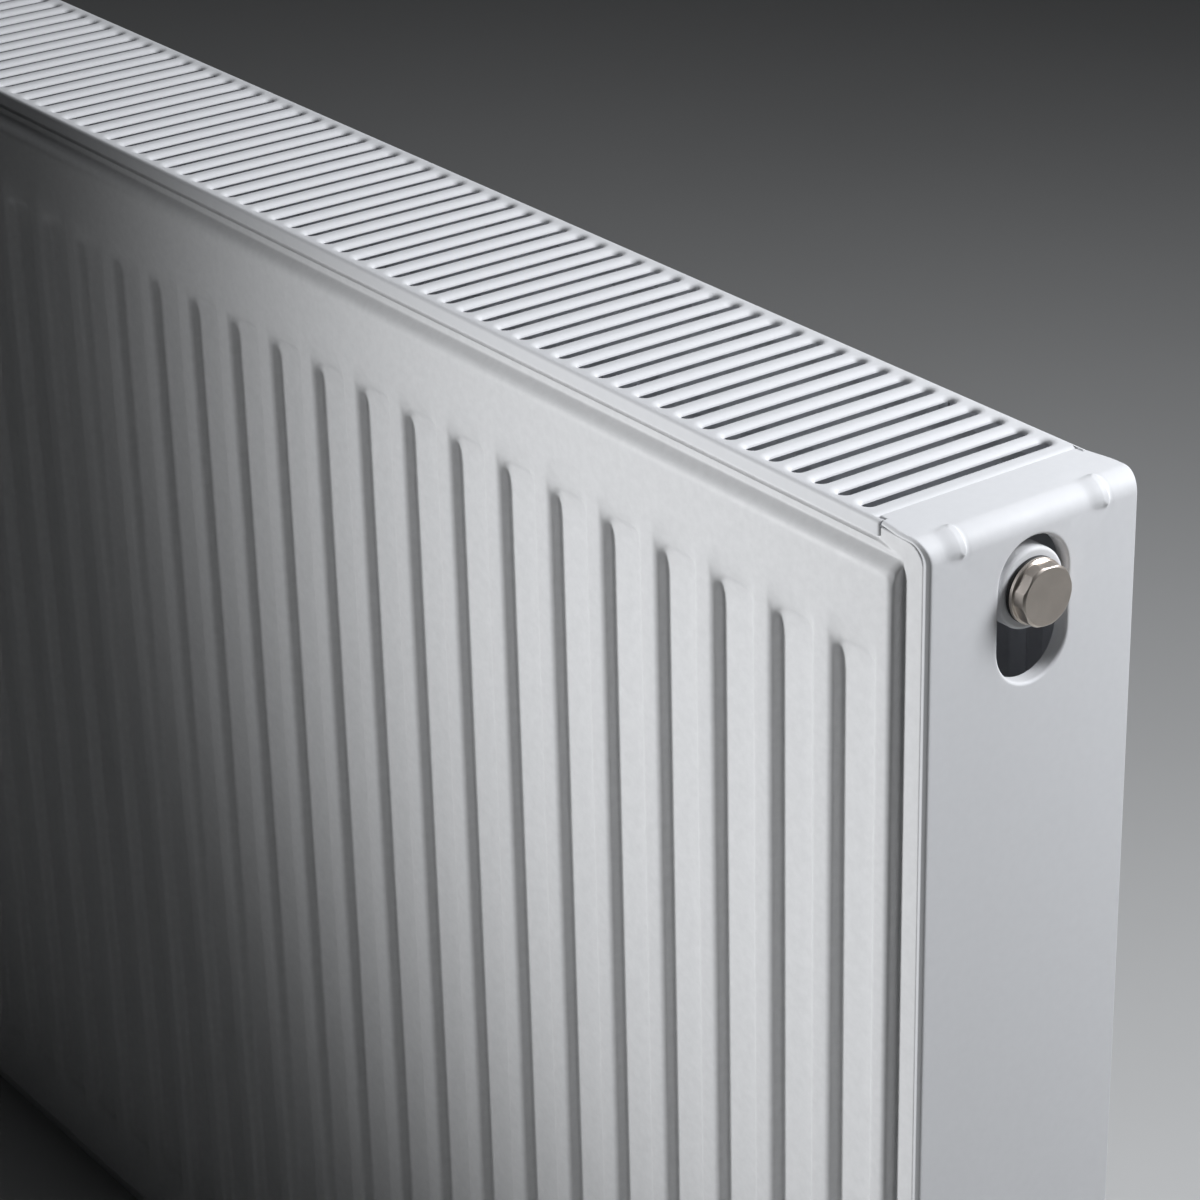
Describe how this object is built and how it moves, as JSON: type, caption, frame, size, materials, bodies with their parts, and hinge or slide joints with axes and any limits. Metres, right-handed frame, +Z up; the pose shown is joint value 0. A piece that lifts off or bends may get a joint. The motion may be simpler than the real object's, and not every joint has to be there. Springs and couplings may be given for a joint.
{
  "type": "panel radiator",
  "caption": "Wall-hung steel panel radiator with pressed water panels, convector fins, slotted top grille, end covers, blanking plug and air vent.",
  "frame": {"origin": "middle of the underside of the whole object's box, midway between the front waterways' faces and the backs of the hanging lugs", "axes": "+X along the length towards the blanking plug's end, -Y towards the room, +Y towards the wall, +Z up"},
  "size_m": [1.015, 0.1146, 0.6013],
  "materials": {
    "white_powder_coat": "semi-gloss white powder coat",
    "nickel_plate": "satin nickel-plated brass",
    "black_rubber": "matt",
    "brass": "turned",
    "spring_steel": "zinc-plated spring steel"
  },
  "bodies": {
    "panels": {"front_panel_outer_sheet": "white_powder_coat", "front_panel_inner_sheet": "white_powder_coat", "rear_panel_inner_sheet": "white_powder_coat", "rear_panel_outer_sheet": "white_powder_coat", "front_convector": "white_powder_coat", "rear_convector": "white_powder_coat", "top_right_tee": "white_powder_coat", "top_left_tee": "white_powder_coat", "bottom_right_tee": "white_powder_coat", "bottom_left_tee": "white_powder_coat", "hanging_lug_top_right": "white_powder_coat", "hanging_lug_top_left": "white_powder_coat", "hanging_lug_bottom_right": "white_powder_coat", "hanging_lug_bottom_left": "white_powder_coat", "blanking_plug": "nickel_plate", "blanking_plug_seal": "black_rubber", "air_vent_body": "nickel_plate", "air_vent_seal": "black_rubber"},
    "grille": {"top_grille": "white_powder_coat", "grille_clips": "spring_steel"},
    "right_cover": {"side_cover_right": "white_powder_coat", "side_cover_clips_right": "spring_steel"},
    "left_cover": {"side_cover_left": "white_powder_coat", "side_cover_clips_left": "spring_steel"},
    "bleed_ring": {"bleed_spindle_ring": "black_rubber"},
    "bleed_spindle": {"bleed_spindle": "brass"}
  },
  "joints": [
    {"name": "grille_lift", "type": "slide", "parent": "panels", "child": "grille", "axis": [0, 0, 1], "range_m": [0, 0.05]},
    {"name": "right_cover_pull", "type": "slide", "parent": "panels", "child": "right_cover", "axis": [1, 0, 0], "range_m": [0, 0.05]},
    {"name": "left_cover_pull", "type": "slide", "parent": "panels", "child": "left_cover", "axis": [-1, 0, 0], "range_m": [0, 0.05]},
    {"name": "bleed_travel", "type": "slide", "parent": "panels", "child": "bleed_ring", "axis": [-1, 0, 0], "range_m": [0, 0.0015]},
    {"name": "bleed_turn", "type": "hinge", "parent": "bleed_ring", "child": "bleed_spindle", "pos_m": [-0.5, -0.004, 0.5692], "axis": [-1, 0, 0], "range_deg": [0, 540]}
  ],
  "couplings": [
    {"joint": "bleed_turn", "follows": "bleed_travel", "rad_per_m": 6283.2}
  ]
}
